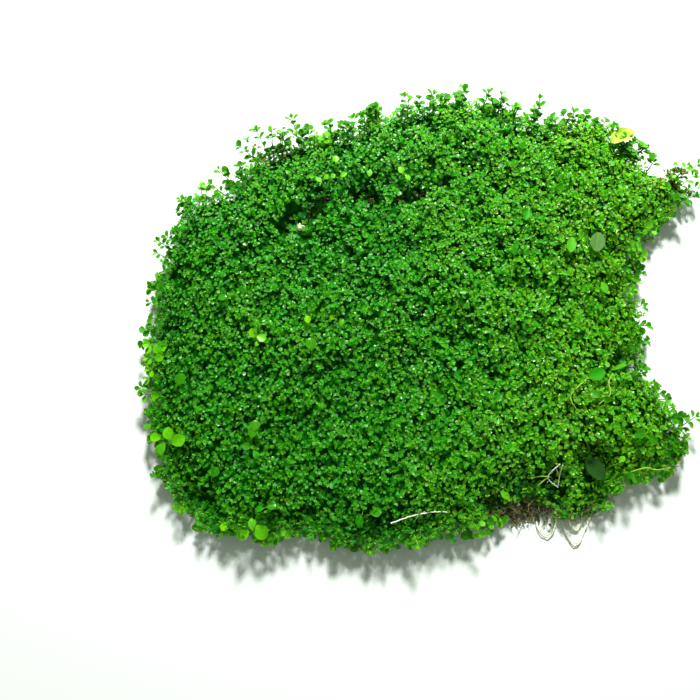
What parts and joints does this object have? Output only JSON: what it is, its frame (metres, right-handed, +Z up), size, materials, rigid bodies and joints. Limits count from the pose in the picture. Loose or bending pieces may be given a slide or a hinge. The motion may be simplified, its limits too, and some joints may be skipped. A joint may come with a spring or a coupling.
{
  "type": "monte carlo baby tears mat",
  "caption": "Loose mat of Monte Carlo baby tears: a root felt under a dense leafy carpet, torn across the back, with shoots and runners standing out of its edge.",
  "frame": {"origin": "middle of the mat's box in plan, at the height of the surface it lies on", "axes": "+Z up, +X to the right and +Y to the far side of the mat as the picture shows it"},
  "size_m": [0.303, 0.2478, 0.0274],
  "materials": {
    "felt": "matted brown roots and old runners",
    "carpet": "dense small glossy green leaves",
    "shoot": "glossy green leaves on thin green stems",
    "bright_shoot": "young yellow-green leaves",
    "grey_leaf": "dull grey-green leaf",
    "dark_leaf": "dark green leaf",
    "yellow_leaf": "pale yellow leaf",
    "root": "pale bare roots and runners"
  },
  "bodies": {
    "root": {"root_felt": "felt", "leaf_carpet": "carpet", "shoot_back_left_1": "shoot", "shoot_back_left_2": "shoot", "shoot_back_left_3": "shoot", "shoot_back_left_4": "shoot", "shoot_back_1": "shoot", "shoot_back_2": "shoot", "shoot_back_3": "shoot", "shoot_back_4": "shoot", "shoot_back_5": "shoot", "shoot_back_6": "shoot", "shoot_back_7": "shoot", "shoot_back_right": "shoot", "runner_right_1": "shoot", "runner_right_2": "shoot", "runner_right_3": "shoot", "shoot_right_1": "shoot", "shoot_right_2": "shoot", "shoot_right_3": "shoot", "runner_right_4": "shoot", "shoot_front": "shoot", "runner_left": "shoot", "shoot_left_1": "shoot", "shoot_left_2": "shoot", "shoot_left_3": "shoot", "bright_shoot_left": "bright_shoot", "bright_shoot_front": "bright_shoot", "bright_shoot_back": "bright_shoot", "bright_shoot_tear": "bright_shoot", "bright_shoot_middle": "bright_shoot", "bright_shoot_centre": "bright_shoot", "round_leaf_grey": "grey_leaf", "oval_leaf_bright": "bright_shoot", "oval_leaf_right": "bright_shoot", "oval_leaf_back": "bright_shoot", "round_leaf_green": "shoot", "strap_leaf_right": "bright_shoot", "round_leaf_dark": "dark_leaf", "yellow_leaf": "yellow_leaf", "root_loop_1": "root", "root_loop_2": "root", "root_loop_3": "root", "bare_runner_front": "root", "bare_root_bent": "root", "bare_runner_side_1": "root", "bare_runner_side_2": "root"}
  },
  "joints": []
}
